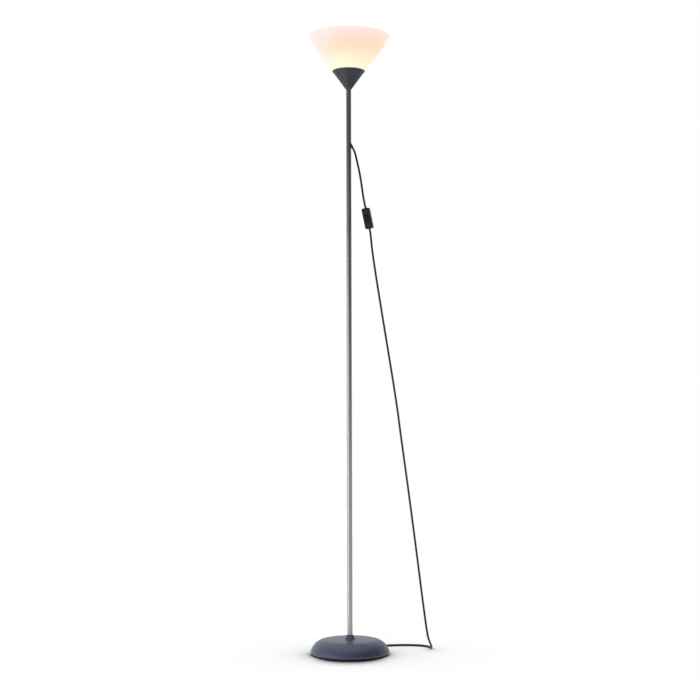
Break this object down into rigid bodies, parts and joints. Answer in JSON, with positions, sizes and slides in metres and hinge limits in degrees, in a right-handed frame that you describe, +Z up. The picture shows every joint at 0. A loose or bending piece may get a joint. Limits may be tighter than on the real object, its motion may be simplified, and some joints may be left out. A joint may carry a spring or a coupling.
{
  "type": "torchiere floor lamp",
  "caption": "Uplighter floor lamp: domed weighted base, slim sectioned pole, dark cone holder with an open conical shade, and an inline rocker switch on its cord.",
  "frame": {"origin": "middle of the base on the floor", "axes": "+Z up along the pole, front of the lamp faces -Y, the cord leaves to +X"},
  "size_m": [0.3607, 0.3323, 1.78],
  "materials": {
    "cover_plastic": "satin moulded blue-grey",
    "holder_plastic": "satin moulded dark slate",
    "pole_satin": "satin silver-grey lacquer",
    "shade_frosted": "frosted, lit from inside",
    "bulb_frosted": "frosted glass",
    "stem_glass": "clear glass",
    "filament_wire": "drawn wire",
    "cap_aluminium": "rolled",
    "brass": "stamped",
    "zinc_steel": "zinc plated",
    "ballast": "rough cast",
    "black_rubber": "matt",
    "black_plastic": "fine moulded texture",
    "rocker_plastic": "smooth",
    "lampholder_plastic": "moulded",
    "porcelain": "glazed",
    "cord_black": "satin sheath",
    "wire_brown": "insulation",
    "wire_blue": "insulation",
    "plug_nickel": "nickel plated"
  },
  "bodies": {
    "root": {"base_cover": "cover_plastic", "base_weight": "ballast", "base_plate": "zinc_steel", "foot_ring": "black_rubber", "base_washer": "zinc_steel", "base_nut": "zinc_steel", "foot_stud": "zinc_steel", "pole_section_1": "pole_satin", "pole_section_2": "pole_satin", "pole_section_3": "pole_satin", "pole_section_4": "pole_satin", "pole_socket_1": "zinc_steel", "pole_socket_2": "zinc_steel", "pole_socket_3": "zinc_steel", "pole_stud_1": "zinc_steel", "pole_stud_2": "zinc_steel", "pole_stud_3": "zinc_steel", "foot_socket": "zinc_steel", "top_socket": "zinc_steel", "cord_bush": "black_plastic", "inner_cord": "cord_black", "holder_cone": "holder_plastic", "holder_washer": "zinc_steel", "holder_nut": "zinc_steel", "lamp_rod": "zinc_steel", "lampholder_cap": "lampholder_plastic", "lampholder_shell": "lampholder_plastic", "lampholder_insulator": "porcelain", "screw_shell": "brass", "centre_contact": "brass", "terminal_screws": "brass", "head_wire_live": "wire_brown", "head_wire_neutral": "wire_blue", "switch_front": "black_plastic", "switch_back": "black_plastic", "pivot_terminal": "brass", "fixed_terminal": "brass", "case_screws": "zinc_steel", "cord_clamps": "black_plastic", "clamp_screws": "zinc_steel", "switch_wires": "wire_brown", "cord_upper": "cord_black", "cord_lower": "cord_black", "cord_coil": "cord_black", "cord_tail": "cord_black", "coil_tie": "black_rubber", "plug_body": "black_plastic", "plug_pins": "plug_nickel"},
    "shade": {"shade": "shade_frosted"},
    "shade_ring": {"shade_ring": "lampholder_plastic"},
    "bulb": {"bulb_glass": "bulb_frosted", "bulb_cap": "cap_aluminium", "bulb_insulator": "black_plastic", "bulb_contact": "brass", "bulb_stem": "stem_glass", "bulb_filament": "filament_wire"},
    "rocker": {"switch_rocker": "rocker_plastic", "rocker_plunger": "lampholder_plastic", "plunger_spring": "zinc_steel"},
    "seesaw": {"contact_seesaw": "brass"}
  },
  "joints": [
    {"name": "shade_lift", "type": "slide", "parent": "root", "child": "shade", "axis": [0, 0, 1], "range_m": [0, 0.15]},
    {"name": "ring_lift", "type": "slide", "parent": "shade", "child": "shade_ring", "axis": [0, 0, 1], "range_m": [0, 0.04]},
    {"name": "bulb_lift", "type": "slide", "parent": "shade_ring", "child": "bulb", "axis": [0, 0, 1], "range_m": [0, 0.11]},
    {"name": "rocker_tilt", "type": "hinge", "parent": "root", "child": "rocker", "pos_m": [0.05237, -0.02916, 1.24456], "axis": [0.9308, -0.3204, 0.176], "range_deg": [-20, 0]},
    {"name": "seesaw_tilt", "type": "hinge", "parent": "root", "child": "seesaw", "pos_m": [0.054, -0.02414, 1.24508], "axis": [0.9308, -0.3204, 0.176], "range_deg": [0, 14]}
  ],
  "couplings": [
    {"joint": "seesaw_tilt", "follows": "rocker_tilt", "ratio": -0.7}
  ]
}
